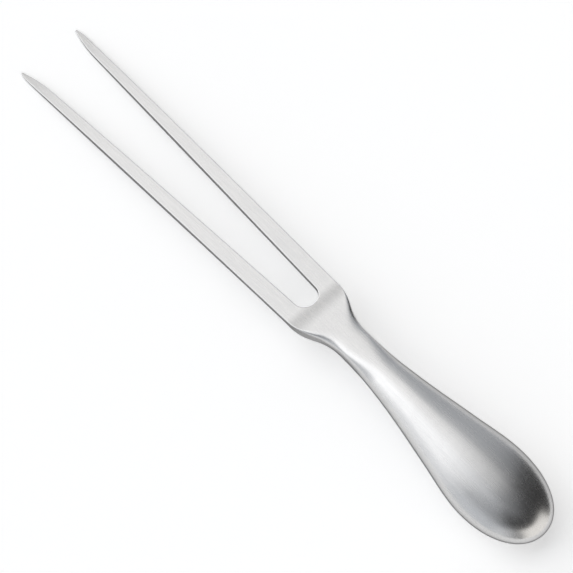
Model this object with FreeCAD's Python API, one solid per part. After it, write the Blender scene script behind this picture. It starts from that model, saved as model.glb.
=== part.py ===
import FreeCAD, Part
import math
import os

# Two-pronged carving fork, forged and ground from one piece of stainless steel.
# Frame: +X runs from the butt of the handle to the tine points, +Y across, +Z up.
# The fork lies as it comes to rest, on the underside of the bulb and on the two points.
# The origin is under the middle of the overall length, on the surface that it lies on.
# A station is a distance from the butt end, measured along X. All sizes are in millimetres.
# Narrowing, widening, thinning, rise, fall and splay are slopes of half sizes along the fork.

# Overall
overall_length = 280.0

# Plan outline: bulb, two places on the waist, neck, flare of the shoulder, shoulder, tines
bulb_station = 27.0
bulb_width = 33.9
upper_waist_station = 50.0
upper_waist_width = 26.8
upper_waist_narrowing = -0.185
lower_waist_station = 75.0
lower_waist_width = 17.9
lower_waist_narrowing = -0.145
neck_station = 100.5
neck_width = 13.4
flare_station = 113.0
flare_width = 18.6
flare_widening = 0.50
shoulder_station = 124.0
shoulder_width = 25.0
tine_splay = 0.0187

# Rounded butt
butt_roundness = 2.12
butt_start_angle = 1.5
butt_lift = 0.6
butt_fall = -0.035

# Thickness, with a step at the shoulder where the neck runs out into the thin tines
bulb_thickness = 19.0
upper_waist_thickness = 16.4
upper_waist_thinning = -0.070
lower_waist_thickness = 13.4
lower_waist_thinning = -0.080
neck_thickness = 8.3
neck_thinning = -0.115
flare_thickness = 6.4
flare_thinning = -0.050
step_station = 118.5
step_thickness = 5.8
step_thinning = -0.060
shoulder_thickness = 3.0
shoulder_thinning = -0.090
tine_thickness = 2.9
thin_grind_length = 18.0
point_run_thickness = 2.2
point_thickness = 0.8
point_thinning = -0.055

# Height of the middle of the section above the surface that the fork lies on
upper_waist_height = 10.3
upper_waist_rise = 0.050
lower_waist_height = 11.3
lower_waist_rise = 0.018
neck_height = 11.3
neck_fall = -0.012
shoulder_height = 10.7
shoulder_fall = -0.045
point_fall = -0.078

# Points, ground from the outside over a short way and from the inside over a longer one
outer_grind_length = 8.0
outer_grind_depth = 0.6176
outer_grind_turn = 4.0
inner_grind_length = 15.0
point_width = 0.7

# Slot between the tines
slot_end_station = 123.6
slot_end_radius = 5.25
slot_splay_angle = 2.6
slot_overrun = 5.0

# Section: an oval on the handle, squared off at the neck, a flat bar with bevelled edges after it
oval_end_station = 84.0
square_station = 100.0
square_handle = 0.86
oval_fullness = 0.97
corner_end_station = 104.0
round_end_station = 112.0
bevel_start_station = 120.0
edge_bevel = 0.35

# Sections in each stretch of the skin, and about how far apart they stand on the long tines
butt_sections = 7
handle_sections = 5
neck_sections = 5
flare_sections = 3
shoulder_sections = 4
tine_section_spacing = 23.0
point_sections = 5

# Share of a radius at which a cubic curve's handles give a quarter of an ellipse
QUARTER_HANDLE = 4.0 / 3.0 * (math.sqrt(2.0) - 1.0)


def eased(knots, station):
    """Value at a station of a smooth line through (station, value, slope) knots."""
    if station <= knots[0][0]:
        return knots[0][1]
    for (s0, v0, g0), (s1, v1, g1) in zip(knots, knots[1:]):
        if station <= s1:
            span = s1 - s0
            t = (station - s0) / span
            rise = v1 - v0
            bend0 = g0 * span - rise
            bend1 = rise - g1 * span
            return v0 + rise * t + t * (1.0 - t) * (bend0 * (1.0 - t) + bend1 * t)
    return knots[-1][1]


def butt_share(station):
    """Share of the bulb's full section that the rounded butt has at a station."""
    if station >= bulb_station:
        return 1.0
    reach = (bulb_station - station) / bulb_station
    return (1.0 - reach**butt_roundness) ** (1.0 / butt_roundness)


def grind_half_width():
    """Half the width across both tines where the outer grind of the points starts."""
    run = overall_length - outer_grind_length - shoulder_station
    return shoulder_width / 2.0 + tine_splay * run


def point_half_width():
    """Half the width across both points."""
    return grind_half_width() - outer_grind_depth


def half_width(station):
    """Half the width of the fork's outline."""
    grind_station = overall_length - outer_grind_length
    grind_slope = -outer_grind_depth / outer_grind_length
    knots = [
        (bulb_station, bulb_width / 2.0, 0.0),
        (upper_waist_station, upper_waist_width / 2.0, upper_waist_narrowing),
        (lower_waist_station, lower_waist_width / 2.0, lower_waist_narrowing),
        (neck_station, neck_width / 2.0, 0.0),
        (flare_station, flare_width / 2.0, flare_widening),
        (shoulder_station, shoulder_width / 2.0, tine_splay),
        (grind_station, grind_half_width(), tine_splay),
        (overall_length, point_half_width(), outer_grind_turn * grind_slope),
    ]
    return eased(knots, station) * butt_share(station)


def half_thickness(station):
    """Half the thickness of the fork's section."""
    root_station = shoulder_station + slot_end_radius
    thin_station = overall_length - thin_grind_length
    run_slope = (point_run_thickness - tine_thickness) / 2.0 / (thin_station - root_station)
    knots = [
        (bulb_station, bulb_thickness / 2.0, 0.0),
        (upper_waist_station, upper_waist_thickness / 2.0, upper_waist_thinning),
        (lower_waist_station, lower_waist_thickness / 2.0, lower_waist_thinning),
        (neck_station, neck_thickness / 2.0, neck_thinning),
        (flare_station, flare_thickness / 2.0, flare_thinning),
        (step_station, step_thickness / 2.0, step_thinning),
        (shoulder_station, shoulder_thickness / 2.0, shoulder_thinning),
        (root_station, tine_thickness / 2.0, run_slope),
        (thin_station, point_run_thickness / 2.0, run_slope),
        (overall_length, point_thickness / 2.0, point_thinning),
    ]
    return eased(knots, station) * butt_share(station)


def middle_height(station):
    """Height of the middle of the section above the surface that the fork lies on."""
    knots = [
        (0.0, bulb_thickness / 2.0 + butt_lift, butt_fall),
        (bulb_station, bulb_thickness / 2.0, 0.0),
        (upper_waist_station, upper_waist_height, upper_waist_rise),
        (lower_waist_station, lower_waist_height, lower_waist_rise),
        (neck_station, neck_height, neck_fall),
        (shoulder_station, shoulder_height, shoulder_fall),
        (overall_length, point_thickness / 2.0, point_fall),
    ]
    return eased(knots, station)


def squareness(station):
    """Reach of a corner's curve handles: an oval on the handle, nearly square at the neck."""
    knots = [(oval_end_station, QUARTER_HANDLE, 0.0), (square_station, square_handle, 0.0)]
    return eased(knots, station)


def flatness(station):
    """How far the corners have shrunk from a whole quarter, at 0, to the bevel, at 1."""
    return eased([(corner_end_station, 0.0, 0.0), (bevel_start_station, 1.0, 0.0)], station)


def straightness(station):
    """How far the section's corners have gone from round, at 0, to a bevel, at 1."""
    return eased([(round_end_station, 0.0, 0.0), (bevel_start_station, 1.0, 0.0)], station)


def corner_poles(station):
    """Control points of the four corners of the fork's section at a station.

    The corners run round the section from the top right; straight flats join them.
    """
    wide = half_width(station)
    thick = half_thickness(station)
    flat = flatness(station)
    straight = straightness(station)
    corner_wide = oval_fullness * wide * (1.0 - flat) + edge_bevel * flat
    corner_thick = oval_fullness * thick * (1.0 - flat) + edge_bevel * flat
    x = station - overall_length / 2.0
    z = middle_height(station)
    corners = []
    for side, level in ((1, 1), (1, -1), (-1, -1), (-1, 1)):
        corner = FreeCAD.Vector(x, side * wide, z + level * thick)
        flat_end = corner - FreeCAD.Vector(0.0, side * corner_wide, 0.0)
        flank_end = corner - FreeCAD.Vector(0.0, 0.0, level * corner_thick)
        third = (flank_end - flat_end) * (straight / 3.0)
        bend = squareness(station) * (1.0 - straight)
        flat_handle = flat_end + (corner - flat_end) * bend + third
        flank_handle = flank_end + (corner - flank_end) * bend - third
        poles = [flat_end, flat_handle, flank_handle, flank_end]
        if side * level < 0:
            poles.reverse()
        corners.append(poles)
    return corners


def spread(start, end, count):
    """Evenly spaced stations after start, up to end."""
    return [start + (end - start) * i / count for i in range(1, count + 1)]


def stations():
    """Stations of the sections, close together where the form changes fast."""
    turns = [butt_start_angle] + spread(butt_start_angle, 90.0, butt_sections)
    reaches = [math.cos(math.radians(turn)) ** (2.0 / butt_roundness) for turn in turns]
    butt = [bulb_station * (1.0 - reach) for reach in reaches]
    handle = spread(bulb_station, oval_end_station, handle_sections)
    neck = spread(oval_end_station, neck_station, neck_sections)
    flare = spread(neck_station, flare_station, flare_sections)
    shoulder = spread(flare_station, shoulder_station, shoulder_sections)
    thin_station = overall_length - thin_grind_length
    tine_sections = max(1, round((thin_station - shoulder_station) / tine_section_spacing))
    tines = spread(shoulder_station, thin_station, tine_sections)
    points = spread(thin_station, overall_length, point_sections)
    return butt + handle + neck + flare + shoulder + tines + points


def skin(rows, distances, cuts):
    """Smooth surface through rows of control points, as one face between cuts."""
    lines = []
    for line_points in zip(*rows):
        line = Part.BSplineCurve()
        line.interpolate(Points=list(line_points), Parameters=distances)
        lines.append(line)
    poles = [line.getPoles() for line in lines]
    across = len(poles) - 1
    surface = Part.BSplineSurface()
    surface.buildFromPolesMultsKnots(
        poles,
        [across + 1, across + 1],
        lines[0].getMultiplicities(),
        [0.0, 1.0],
        lines[0].getKnots(),
        False,
        False,
        across,
        lines[0].Degree,
    )
    faces = []
    for start, end in zip(cuts, cuts[1:]):
        patch = surface.copy()
        patch.segment(0.0, 1.0, start, end)
        faces.append(patch.toShape())
    return faces


def end_cap(corners):
    """Flat face that closes the skin over one end section."""
    outline = []
    for poles, next_poles in zip(corners, corners[1:] + corners[:1]):
        curve = Part.BezierCurve()
        curve.setPoles(poles)
        outline.append(curve.toShape())
        outline.append(Part.LineSegment(poles[-1], next_poles[0]).toShape())
    return Part.Face(Part.Wire(outline))


def make_blank():
    """The forged blank: handle, shoulder and a flat bar as wide as both tines."""
    places = stations()
    sections = [corner_poles(station) for station in places]
    distances = [0.0]
    for before, after in zip(places, places[1:]):
        step_out = half_width(after) - half_width(before)
        distances.append(distances[-1] + math.hypot(after - before, step_out))
    cuts = [distances[0]]
    for limit in (bulb_station, oval_end_station, neck_station, flare_station, shoulder_station):
        nearest = min(places, key=lambda place: abs(place - limit))
        cuts.append(distances[places.index(nearest)])
    cuts.append(distances[-1])
    faces = [end_cap(sections[0]), end_cap(sections[-1])]
    for i in range(4):
        following = (i + 1) % 4
        flats = [[corners[i][-1], corners[following][0]] for corners in sections]
        faces += skin([corners[i] for corners in sections], distances, cuts)
        faces += skin(flats, distances, cuts)
    shell = Part.Shell(faces)
    shell.sewShape()
    blank = Part.Solid(shell)
    if blank.Volume < 0.0:
        blank.reverse()
    return blank


def tangent_arc(start, direction, end):
    """Arc that leaves start along direction and goes through end."""
    normal = FreeCAD.Vector(-direction.y, direction.x, 0.0)
    chord = end - start
    radius = chord.dot(chord) / (2.0 * chord.dot(normal))
    centre = start + normal * radius
    outward = (start - centre) + (end - centre)
    middle = centre + outward.normalize() * abs(radius)
    return Part.Arc(start, middle, end).toShape()


def make_slot():
    """Cutter for the slot: a round end, straight sides that splay, and the ground points."""
    middle_x = -overall_length / 2.0
    splay = math.radians(slot_splay_angle)
    end_centre = slot_end_station + slot_end_radius
    grind_station = overall_length - inner_grind_length
    touch = end_centre - slot_end_radius * math.sin(splay)
    touch_half = slot_end_radius * math.cos(splay)
    grind_half = touch_half + (grind_station - touch) * math.tan(splay)
    point_half = point_half_width() - point_width

    def place(station, y):
        return FreeCAD.Vector(station + middle_x, y, 0.0)

    sides = []
    for side in (1, -1):
        along = FreeCAD.Vector(math.cos(splay), side * math.sin(splay), 0.0)
        start = place(touch, side * touch_half)
        turn = place(grind_station, side * grind_half)
        point = place(overall_length, side * point_half)
        away = place(overall_length + slot_overrun, side * (point_half + slot_overrun))
        side_edges = [Part.LineSegment(start, turn).toShape()]
        side_edges.append(tangent_arc(turn, along, point))
        side_edges.append(Part.LineSegment(point, away).toShape())
        sides.append((start, away, side_edges))
    (start_a, away_a, edges_a), (start_b, away_b, edges_b) = sides
    bottom = place(slot_end_station, 0.0)
    outline = [Part.Arc(start_a, bottom, start_b).toShape()]
    outline += edges_b + [Part.LineSegment(away_b, away_a).toShape()] + edges_a[::-1]
    face = Part.Face(Part.Wire(Part.__sortEdges__(outline)))
    height = bulb_thickness + neck_height
    face.translate(FreeCAD.Vector(0.0, 0.0, -height))
    return face.extrude(FreeCAD.Vector(0.0, 0.0, 2.0 * height))


def slot_edges(body):
    """Top and bottom edges that the slot leaves along the inner sides of the tines."""
    slot_start = slot_end_station - overall_length / 2.0
    reach = point_half_width() - point_width + edge_bevel / 2.0
    found = []
    for edge in body.Edges:
        box = edge.BoundBox
        inside = max(abs(box.YMin), abs(box.YMax)) < reach
        if inside and box.XMin > slot_start - edge_bevel and box.XLength > edge_bevel:
            found.append(edge)
    return found


def make_fork():
    """The finished fork, with the sharp edges of the slot bevelled."""
    body = make_blank().cut(make_slot())
    body = body.makeChamfer(edge_bevel, slot_edges(body))
    return body.Solids[0]


fork = make_fork()
os.makedirs("parts", exist_ok=True)
fork.exportStep("parts/carving_fork.step")
print("volume", round(fork.Volume), "mm3, valid", fork.isValid(), "faces", len(fork.Faces))
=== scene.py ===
import bpy
import math
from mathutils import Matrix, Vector


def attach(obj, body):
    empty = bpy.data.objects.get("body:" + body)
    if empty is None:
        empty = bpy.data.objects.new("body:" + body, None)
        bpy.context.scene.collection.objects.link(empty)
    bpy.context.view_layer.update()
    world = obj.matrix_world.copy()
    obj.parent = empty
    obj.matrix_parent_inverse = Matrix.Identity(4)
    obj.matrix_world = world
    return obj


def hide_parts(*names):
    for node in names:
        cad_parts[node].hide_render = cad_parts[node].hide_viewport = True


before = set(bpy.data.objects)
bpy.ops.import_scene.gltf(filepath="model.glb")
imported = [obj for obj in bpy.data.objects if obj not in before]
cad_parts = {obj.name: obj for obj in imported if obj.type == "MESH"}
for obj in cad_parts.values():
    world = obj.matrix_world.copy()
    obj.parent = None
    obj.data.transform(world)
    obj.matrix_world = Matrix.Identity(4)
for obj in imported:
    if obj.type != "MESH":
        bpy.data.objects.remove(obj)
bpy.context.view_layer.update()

# Directions of the photograph's picture plane, laid flat on the table
image_right = Vector((-0.6789, -0.7342, 0.0))
image_up = Vector((0.7342, -0.6789, 0.0))
table_up = Vector((0.0, 0.0, 1.0))

# Camera: places and distances in metres, sensor in millimetres, the photograph in pixels
camera_tilt = math.radians(23.0)
camera_distance = 0.9665
focal_pixels = 2500.0
frame_pixels = 573.0
sensor_width = 36.0
nearest_seen = 0.01
farthest_seen = 60.0
camera_aim = Vector((-0.0004, -0.0005, 0.0006))


def add_camera():
    """Camera above the table, leaning towards the picture's lower edge."""
    camera = bpy.data.cameras.new("camera")
    camera.sensor_width = sensor_width
    camera.lens = sensor_width * focal_pixels / frame_pixels
    camera.clip_start = nearest_seen
    camera.clip_end = farthest_seen
    back = table_up * math.cos(camera_tilt) - image_up * math.sin(camera_tilt)
    body = bpy.data.objects.new("camera", camera)
    body.location = camera_aim + back * camera_distance
    body.rotation_mode = "QUATERNION"
    body.rotation_quaternion = (-back).to_track_quat("-Z", "Y")
    bpy.context.scene.collection.objects.link(body)
    bpy.context.scene.camera = body


class Nodes:
    """Short way to add and join shader nodes in one tree."""

    def __init__(self, tree):
        self.tree = tree
        tree.nodes.clear()

    def add(self, kind, **settings):
        node = self.tree.nodes.new(kind)
        for name, value in settings.items():
            setattr(node, name, value)
        return node

    def feed(self, socket, value):
        if isinstance(value, bpy.types.NodeSocket):
            self.tree.links.new(value, socket)
        else:
            socket.default_value = value

    def math(self, operation, first, second=0.0):
        node = self.add("ShaderNodeMath", operation=operation)
        self.feed(node.inputs[0], first)
        self.feed(node.inputs[1], second)
        return node.outputs[0]

    def dot(self, first, second):
        node = self.add("ShaderNodeVectorMath", operation="DOT_PRODUCT")
        self.feed(node.inputs[0], first)
        self.feed(node.inputs[1], second)
        return node.outputs["Value"]

    def ramp(self, value, from_min, from_max, to_min, to_max):
        node = self.add("ShaderNodeMapRange", interpolation_type="SMOOTHERSTEP")
        self.feed(node.inputs["Value"], value)
        node.inputs["From Min"].default_value = from_min
        node.inputs["From Max"].default_value = from_max
        node.inputs["To Min"].default_value = to_min
        node.inputs["To Max"].default_value = to_max
        return node.outputs["Result"]


# Colours of the studio's light
neutral = (1.0, 1.0, 1.0)
cool = (0.955, 0.993, 1.050)
warm = (1.030, 1.005, 0.965)

# Light of the dim studio where no panel stands
studio_base = 0.05

# Upright panels round the table: name, bearing of the middle from the picture's right towards
# its top, half the width, height of the top, softness of the sides and of the top, all in
# degrees, then brightness and colour
panels = [
    ("left_screen", -178.0, 16.0, 68.0, 8.0, 9.0, 1.00, neutral),
    ("left_wall", -126.0, 30.0, 46.0, 9.0, 10.0, 0.32, cool),
    ("left_wall_end", -110.0, 8.0, 38.0, 5.0, 8.0, 0.30, neutral),
    ("gap_by_camera", -90.0, 10.0, 46.0, 6.0, 8.0, 0.25, neutral),
    ("low_screen", -38.0, 37.0, 47.0, 9.0, 4.0, 1.08, warm),
    ("right_wall", 66.0, 12.0, 62.0, 8.0, 9.0, 0.50, cool),
    ("far_wall", 121.0, 45.0, 50.0, 8.0, 9.0, 0.70, neutral),
    ("far_window", 142.0, 15.0, 34.0, 6.0, 8.0, 1.90, neutral),
    ("left_ceiling", -165.0, 45.0, 90.0, 25.0, 1.0, 0.42, cool),
]

# Softboxes overhead: name, bearing and height of the middle, half the width, half the height
# and softness of the edges in degrees, then brightness and colour
softboxes = [
    ("main_softbox", 122.0, 66.0, 20.5, 15.5, 8.0, 1.30, neutral),
    ("left_softbox", -176.0, 42.0, 9.0, 14.0, 6.0, 0.35, neutral),
    ("zenith_bounce", 0.0, 89.9, 14.0, 14.0, 9.0, 0.20, cool),
]

# Smallest values that a direction's parts are divided by
smallest_facing = 0.01
smallest_level_part = 0.0001


def studio_aim(bearing, height):
    """Direction from the fork towards a bearing and a height in degrees."""
    turn, rise = math.radians(bearing), math.radians(height)
    aim = image_right * math.cos(turn) * math.cos(rise)
    aim += image_up * math.sin(turn) * math.cos(rise) + table_up * math.sin(rise)
    return tuple(aim)


def panel_share(n, direction, upward, across, bearing, half, top, side_soft, top_soft):
    """Share of a panel's light in a direction, with soft sides and a soft top."""
    turn = n.math("DIVIDE", n.dot(direction, studio_aim(bearing, 0.0)), across)
    far = math.cos(math.radians(half + side_soft))
    near = math.cos(math.radians(half - side_soft))
    beside = n.ramp(turn, far, near, 0.0, 1.0)
    start = math.sin(math.radians(top - top_soft))
    end = math.sin(math.radians(min(top + top_soft, 90.0)))
    below = n.ramp(upward, start, end, 1.0, 0.0)
    return n.math("MULTIPLY", beside, below)


def edge_share(n, value, half, soft):
    """Share left of a light towards an edge, by the tangent of the angle from its middle."""
    far = math.tan(math.radians(half + soft))
    near = math.tan(math.radians(half - soft))
    return n.ramp(n.math("ABSOLUTE", value), near, far, 1.0, 0.0)


def softbox_share(n, direction, bearing, height, half_wide, half_high, soft):
    """Share of a square softbox's light in a direction."""
    facing = n.dot(direction, studio_aim(bearing, height))
    ahead = n.math("MAXIMUM", facing, smallest_facing)
    side = n.dot(direction, studio_aim(bearing + 90.0, 0.0))
    top = n.dot(direction, studio_aim(bearing, height + 90.0))
    sideways = n.math("DIVIDE", side, ahead)
    upwards = n.math("DIVIDE", top, ahead)
    beside = edge_share(n, sideways, half_wide, soft)
    above = edge_share(n, upwards, half_high, soft)
    return n.math("MULTIPLY", beside, above)


def add_studio():
    """Studio round the table: upright panels and walls, and softboxes overhead."""
    world = bpy.data.worlds.new("studio")
    world.use_nodes = True
    bpy.context.scene.world = world
    n = Nodes(world.node_tree)
    direction = n.add("ShaderNodeTexCoord").outputs["Generated"]
    upward = n.dot(direction, tuple(table_up))
    level_part = n.math("SUBTRACT", 1.0, n.math("MULTIPLY", upward, upward))
    across = n.math("SQRT", n.math("MAXIMUM", level_part, smallest_level_part))
    lights = []
    for name, *place, level, colour in panels:
        share = panel_share(n, direction, upward, across, *place)
        lights.append((name, share, level, colour))
    for name, *place, level, colour in softboxes:
        share = softbox_share(n, direction, *place)
        lights.append((name, share, level, colour))
    total = tuple(studio_base * part for part in neutral)
    for name, share, level, colour in lights:
        light = n.add("ShaderNodeVectorMath", operation="MULTIPLY_ADD", label=name)
        n.feed(light.inputs[0], share)
        light.inputs[1].default_value = tuple(level * part for part in colour)
        n.feed(light.inputs[2], total)
        total = light.outputs[0]
    background = n.add("ShaderNodeBackground")
    n.feed(background.inputs["Color"], total)
    out = n.add("ShaderNodeOutputWorld")
    n.feed(out.inputs["Surface"], background.outputs[0])


# White table top, just under the fork: paper, and the glow that makes up a clean white where
# no shadow falls
floor_size = 60.0
floor_gap = 0.0001
paper_white = 0.9
paper_glow = 0.315


def add_floor():
    """White table top that keeps the fork's shadow."""
    bpy.ops.mesh.primitive_plane_add(size=floor_size, location=(0.0, 0.0, -floor_gap))
    floor = bpy.context.object
    floor.name = "floor"
    material = bpy.data.materials.new("white_table")
    material.use_nodes = True
    n = Nodes(material.node_tree)
    paper = n.add("ShaderNodeBsdfDiffuse")
    paper.inputs["Color"].default_value = (paper_white, paper_white, paper_white, 1.0)
    glow = n.add("ShaderNodeEmission")
    path = n.add("ShaderNodeLightPath")
    seen = n.math("ADD", path.outputs["Is Camera Ray"], path.outputs["Is Glossy Ray"])
    seen = n.math("ADD", seen, path.outputs["Is Transmission Ray"])
    seen = n.math("MINIMUM", seen, 1.0)
    n.feed(glow.inputs["Strength"], n.math("MULTIPLY", seen, paper_glow))
    both = n.add("ShaderNodeAddShader")
    n.feed(both.inputs[0], paper.outputs[0])
    n.feed(both.inputs[1], glow.outputs[0])
    out = n.add("ShaderNodeOutputMaterial")
    n.feed(out.inputs["Surface"], both.outputs[0])
    floor.data.materials.append(material)


# Sizes of the fork in millimetres; a station is a distance from the butt
millimetre = 0.001
overall_length = 280.0
bulb_station = 27.0
butt_roundness = 2.12
butt_start_angle = 1.5
quarter_handle = 4.0 / 3.0 * (math.sqrt(2.0) - 1.0)
square_handle = 0.86
oval_fullness = 0.97
edge_round = 0.35
slot_end_station = 123.6
slot_end_radius = 5.25
slot_splay = math.radians(2.6)
inner_grind_length = 15.0
point_half_gap = 13.95

# Steps of the mesh: butt sections at chosen turns in degrees and then evenly to a right angle,
# stretches after the bulb as the station where each ends and its steps, and the curves
butt_turns = [butt_start_angle, 2.2, 3.0]
butt_steps = 44
stretches = [(84.0, 60), (126.0, 84), (262.0, 68), (overall_length, 36)]
corner_steps = 20
slot_side_steps = 60
slot_end_steps = 28
grind_steps = 15
round_steps = 4

# Cutter of the slot: places past the points where it starts, and the straight lip that leads
# out of the metal from the rounded edge, by its angle in degrees and its length
cutter_overruns = [6.0, 3.0]
lip_angle = 15.0
lip_length = 1.2

# Normals of the finished mesh: edges sharper than the angle, in degrees, stay sharp
sharp_angle = 50.0
normal_weight = 60

# Knots of the smooth laws: station, value, slope. They follow the part's source but for four
# things. The crown of the bulb lies further from the butt, the step at the shoulder is softer
# and the last stretch of the tines is thinner, all for the shading that the photograph shows.
# The tines' long stretch is up to 0.44 mm thicker on each side, as a side effect of the slope
# at 262; nothing in the photograph asks for that.
half_width_knots = [
    (27.0, 16.95, 0.0),
    (50.0, 13.40, -0.185),
    (75.0, 8.95, -0.145),
    (100.5, 6.70, 0.0),
    (113.0, 9.30, 0.50),
    (124.0, 12.50, 0.0187),
    (272.0, 15.268, 0.0187),
    (280.0, 14.65, -0.309),
]
half_thickness_knots = [
    (14.0, 9.265, 0.0),
    (27.0, 9.375, 0.019),
    (50.0, 8.375, -0.074),
    (75.0, 6.70, -0.080),
    (100.5, 4.15, -0.115),
    (113.0, 3.20, -0.050),
    (118.0, 2.785, -0.127),
    (122.0, 2.133, -0.186),
    (126.0, 1.573, -0.080),
    (129.25, 1.45, -0.0026),
    (262.0, 1.10, -0.0250),
    (271.0, 0.82, -0.0420),
    (280.0, 0.40, -0.060),
]
middle_height_knots = [
    (0.0, 9.87, -0.035),
    (27.0, 9.375, 0.019),
    (50.0, 10.475, 0.046),
    (75.0, 11.30, 0.018),
    (100.5, 11.30, -0.012),
    (124.0, 10.70, -0.045),
    (280.0, 0.40, -0.078),
]
squareness_knots = [(84.0, quarter_handle, 0.0), (100.0, square_handle, 0.0)]
flatness_knots = [(104.0, 0.0, 0.0), (120.0, 1.0, 0.0)]
crispness_knots = [(112.0, 0.0, 0.0), (120.0, 1.0, 0.0)]


def eased(knots, station):
    """Value at a station of a smooth line through (station, value, slope) knots."""
    if station <= knots[0][0]:
        return knots[0][1]
    for (s0, v0, g0), (s1, v1, g1) in zip(knots, knots[1:]):
        if station <= s1:
            span = s1 - s0
            t = (station - s0) / span
            rise = v1 - v0
            bend0 = g0 * span - rise
            bend1 = rise - g1 * span
            return v0 + rise * t + t * (1.0 - t) * (bend0 * (1.0 - t) + bend1 * t)
    return knots[-1][1]


def butt_share(station):
    """Share of the bulb's full section that the rounded butt has at a station."""
    if station >= bulb_station:
        return 1.0
    reach = (bulb_station - station) / bulb_station
    return (1.0 - reach**butt_roundness) ** (1.0 / butt_roundness)


def top_height(station):
    half = eased(half_thickness_knots, station) * butt_share(station)
    return eased(middle_height_knots, station) + half


def bottom_height(station):
    half = eased(half_thickness_knots, station) * butt_share(station)
    return eased(middle_height_knots, station) - half


def section_ring(station, steps):
    """Points round the fork's section: four curved corners joined by flats."""
    wide = eased(half_width_knots, station) * butt_share(station)
    thick = eased(half_thickness_knots, station) * butt_share(station)
    flat = eased(flatness_knots, station)
    crisp = eased(crispness_knots, station)
    corner_wide = oval_fullness * wide * (1.0 - flat) + edge_round * flat
    corner_thick = oval_fullness * thick * (1.0 - flat) + edge_round * flat
    handle = eased(squareness_knots, station) * (1.0 - crisp) + quarter_handle * crisp
    z = eased(middle_height_knots, station)
    ring = []
    for side, level in ((1, 1), (1, -1), (-1, -1), (-1, 1)):
        corner = []
        for i in range(steps + 1):
            t = i / steps
            inner = 3.0 * (1.0 - t) ** 2 * t
            outer = 3.0 * (1.0 - t) * t**2
            out = inner * handle + outer + t**3
            down = outer * (1.0 - handle) + t**3
            y = side * (wide - corner_wide + corner_wide * out)
            up = level * (thick - corner_thick * down)
            corner.append((station - overall_length / 2.0, y, z + up))
        if side * level < 0:
            corner.reverse()
        ring += corner
    return ring


def spread(start, end, count):
    """Evenly spaced values after start, up to end."""
    return [start + (end - start) * i / count for i in range(1, count + 1)]


def mesh_object(name, points, faces):
    """Mesh object from points in millimetres."""
    mesh = bpy.data.meshes.new(name)
    mesh.from_pydata([Vector(point) * millimetre for point in points], [], faces)
    mesh.validate()
    mesh.update()
    body = bpy.data.objects.new(name, mesh)
    bpy.context.scene.collection.objects.link(body)
    return body


def ring_mesh(name, rings):
    """Closed skin over rings of equally many points, with a face over each end."""
    size = len(rings[0])
    points = [point for ring in rings for point in ring]
    faces = [tuple(range(size))]
    faces.append(tuple(range(len(points) - 1, len(points) - size - 1, -1)))
    for row in range(len(rings) - 1):
        for i in range(size):
            j = (i + 1) % size
            a, b = row * size + i, row * size + j
            faces.append((a, a + size, b + size, b))
    return mesh_object(name, points, faces)


def make_blank():
    """Fork without its slot."""
    turns = butt_turns + spread(butt_turns[-1], 90.0, butt_steps)
    places = [
        bulb_station * (1.0 - math.cos(math.radians(turn)) ** (2.0 / butt_roundness))
        for turn in turns
    ]
    start = bulb_station
    for end, steps in stretches:
        places += spread(start, end, steps)
        start = end
    return ring_mesh("fork_blank", [section_ring(place, corner_steps) for place in places])


def slot_outline():
    """Edge of the slot from its open end round to the bottom: place and way into the metal."""
    centre = slot_end_station + slot_end_radius
    touch = centre - slot_end_radius * math.sin(slot_splay)
    touch_half = slot_end_radius * math.cos(slot_splay)
    grind = overall_length - inner_grind_length
    grind_half = touch_half + (grind - touch) * math.tan(slot_splay)
    slope = math.tan(slot_splay)
    bend = (point_half_gap - grind_half - slope * inner_grind_length) / inner_grind_length**2
    outline = []
    places = [overall_length + past for past in cutter_overruns]
    steps_back = [0.0] + spread(0.0, inner_grind_length, grind_steps)
    places += [overall_length - back for back in steps_back]
    for station in places:
        run = station - grind
        lean = slope + 2.0 * bend * run
        size = math.hypot(1.0, lean)
        half = grind_half + slope * run + bend * run**2
        outline.append((station, half, -lean / size, 1.0 / size))
    for station in spread(grind, touch, slot_side_steps):
        half = touch_half + (station - touch) * slope
        outline.append((station, half, -math.sin(slot_splay), math.cos(slot_splay)))
    for turn in spread(slot_splay, math.pi / 2.0, slot_end_steps):
        out_s, out_y = -math.sin(turn), math.cos(turn)
        place = centre + slot_end_radius * out_s
        outline.append((place, slot_end_radius * out_y, out_s, out_y))
    mirrored = [(s, -y, ns, -ny) for s, y, ns, ny in outline[-2::-1]]
    return outline + mirrored


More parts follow.
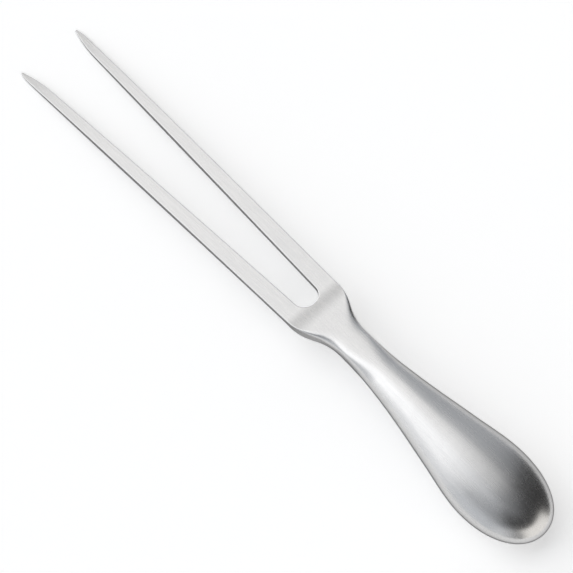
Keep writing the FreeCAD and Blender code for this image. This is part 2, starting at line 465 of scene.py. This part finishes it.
def make_cutter():
    """Solid that leaves the slot with its edges rounded."""
    lip = math.radians(lip_angle)
    out = edge_round * (1.0 - math.sin(lip)) + lip_length * math.cos(lip)
    down = edge_round * (1.0 - math.cos(lip)) - lip_length * math.sin(lip)
    offsets = [(out, down)]
    for turn in [lip] + spread(lip, math.pi / 2.0, round_steps):
        out = edge_round * (1.0 - math.sin(turn))
        down = edge_round * (1.0 - math.cos(turn))
        offsets.append((out, down))
    rings = []
    for station, y, ns, ny in slot_outline():
        ring = []
        for offset, depth in offsets:
            place = station + ns * offset
            high = top_height(place) - depth
            ring.append((place - overall_length / 2.0, y + ny * offset, high))
        for offset, depth in reversed(offsets):
            place = station + ns * offset
            low = bottom_height(place) + depth
            ring.append((place - overall_length / 2.0, y + ny * offset, low))
        rings.append(ring)
    size = len(rings[0])
    points = [point for ring in rings for point in ring]
    faces = []
    for row in range(len(rings) - 1):
        for i in range(size - 1):
            a = row * size + i
            faces.append((a, a + 1, a + size + 1, a + size))
    half = len(rings) // 2
    last = len(rings) - 1
    for row in range(half):
        other = last - row
        a, b = row * size, (row + 1) * size
        c, d = (other - 1) * size, other * size
        if row + 1 == other - 1:
            faces.append((a, b, d))
            faces.append((a + size - 1, d + size - 1, b + size - 1))
        else:
            faces.append((a, b, c, d))
            faces.append((a + size - 1, d + size - 1, c + size - 1, b + size - 1))
    for i in range(size - 1):
        a, b = i, last * size + i
        faces.append((a, b, b + 1, a + 1))
    return mesh_object("slot_cutter", points, faces)


def make_fork():
    """Finished fork: the blank with the slot taken out, smooth but for its true edges."""
    blank = make_blank()
    cutter = make_cutter()
    cut = blank.modifiers.new("slot", "BOOLEAN")
    cut.operation = "DIFFERENCE"
    cut.solver = "EXACT"
    cut.object = cutter
    bpy.context.view_layer.update()
    graph = bpy.context.evaluated_depsgraph_get()
    mesh = bpy.data.meshes.new_from_object(blank.evaluated_get(graph))
    bpy.data.objects.remove(cutter)
    bpy.data.objects.remove(blank)
    fork = bpy.data.objects.new("satin_fork", mesh)
    bpy.context.scene.collection.objects.link(fork)
    mesh.shade_smooth()
    mesh.set_sharp_from_angle(angle=math.radians(sharp_angle))
    even = fork.modifiers.new("even_normals", "WEIGHTED_NORMAL")
    even.mode = "FACE_AREA"
    even.weight = normal_weight
    even.keep_sharp = True
    return fork


# Grain of the brushing: noise frequencies per metre along, across and through the fork
fine_grain = (130.0, 3000.0, 3000.0)
broad_grain = (45.0, 800.0, 800.0)
mottle_grain = (260.0, 260.0, 260.0)
grain_roughness = 0.6
fine_detail = 3.0
broad_detail = 4.0
streak_share = 0.5

# Steel: colours and roughness from the dark, smooth streaks to the light, rough ones, the part
# of the streaks' noise that they spread over, and how much the mottling adds. Then how much
# the brushing draws out the reflections, the dark tint towards the rims, which is partly
# painted shade, and the bumps in metres.
dark_steel = (0.602, 0.599, 0.597, 1.0)
light_steel = (0.650, 0.644, 0.638, 1.0)
colour_spread = (0.32, 0.68)
smooth_streak, rough_streak = 0.25, 0.28
roughness_spread = (0.3, 0.7)
mottle_roughness = 0.01
brushing = 0.55
# The tint towards the rims is partly the steel's own darkening at grazing angles. It is partly
# painted shade: it darkens the rims as the reflection of the shaded table beside the fork
# would.
edge_tint_and_shade = (0.12, 0.12, 0.125, 1.0)
bump_strength = 0.06
bump_depth = 0.00002
mottle_bump = 0.3


def grain(n, place, frequencies, detail):
    """Noise drawn out along the fork, between 0 and 1."""
    stretch = n.add("ShaderNodeVectorMath", operation="MULTIPLY")
    n.feed(stretch.inputs[0], place)
    stretch.inputs[1].default_value = frequencies
    noise = n.add("ShaderNodeTexNoise")
    n.feed(noise.inputs["Vector"], stretch.outputs[0])
    noise.inputs["Scale"].default_value = 1.0
    noise.inputs["Detail"].default_value = detail
    noise.inputs["Roughness"].default_value = grain_roughness
    return noise.outputs["Fac"]


def steel():
    """Satin steel, finely brushed along the fork."""
    material = bpy.data.materials.new("satin_steel")
    material.use_nodes = True
    n = Nodes(material.node_tree)
    place = n.add("ShaderNodeTexCoord").outputs["Object"]
    fine = grain(n, place, fine_grain, fine_detail)
    broad = grain(n, place, broad_grain, broad_detail)
    mottle = grain(n, place, mottle_grain, fine_detail)
    fine_streaks = n.math("MULTIPLY", fine, streak_share)
    broad_streaks = n.math("MULTIPLY", broad, streak_share)
    streaks = n.math("ADD", fine_streaks, broad_streaks)
    metal = n.add("ShaderNodeBsdfPrincipled")
    metal.inputs["Metallic"].default_value = 1.0
    tone = n.add("ShaderNodeMix", data_type="RGBA")
    n.feed(tone.inputs["Factor"], n.ramp(streaks, *colour_spread, 0.0, 1.0))
    tone.inputs["A"].default_value = dark_steel
    tone.inputs["B"].default_value = light_steel
    n.feed(metal.inputs["Base Color"], tone.outputs["Result"])
    brushed = n.ramp(streaks, *roughness_spread, smooth_streak, rough_streak)
    mottled = n.ramp(mottle, *roughness_spread, -mottle_roughness, mottle_roughness)
    n.feed(metal.inputs["Roughness"], n.math("ADD", brushed, mottled))
    metal.inputs["Anisotropic"].default_value = brushing
    metal.inputs["Specular Tint"].default_value = edge_tint_and_shade
    across = n.add("ShaderNodeVectorTransform", vector_type="VECTOR")
    across.convert_from = "OBJECT"
    across.convert_to = "WORLD"
    across.inputs[0].default_value = (0.0, 1.0, 0.0)
    n.feed(metal.inputs["Tangent"], across.outputs[0])
    bump = n.add("ShaderNodeBump")
    bump.inputs["Strength"].default_value = bump_strength
    bump.inputs["Distance"].default_value = bump_depth
    n.feed(bump.inputs["Height"], n.math("ADD", fine, n.math("MULTIPLY", mottle, mottle_bump)))
    n.feed(metal.inputs["Normal"], bump.outputs[0])
    out = n.add("ShaderNodeOutputMaterial")
    n.feed(out.inputs["Surface"], metal.outputs[0])
    return material


add_camera()
add_studio()
add_floor()
fork = make_fork()
fork.data.materials.clear()
fork.data.materials.append(steel())
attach(fork, "root")
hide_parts("carving_fork")
bpy.context.scene.view_settings.view_transform = "Standard"
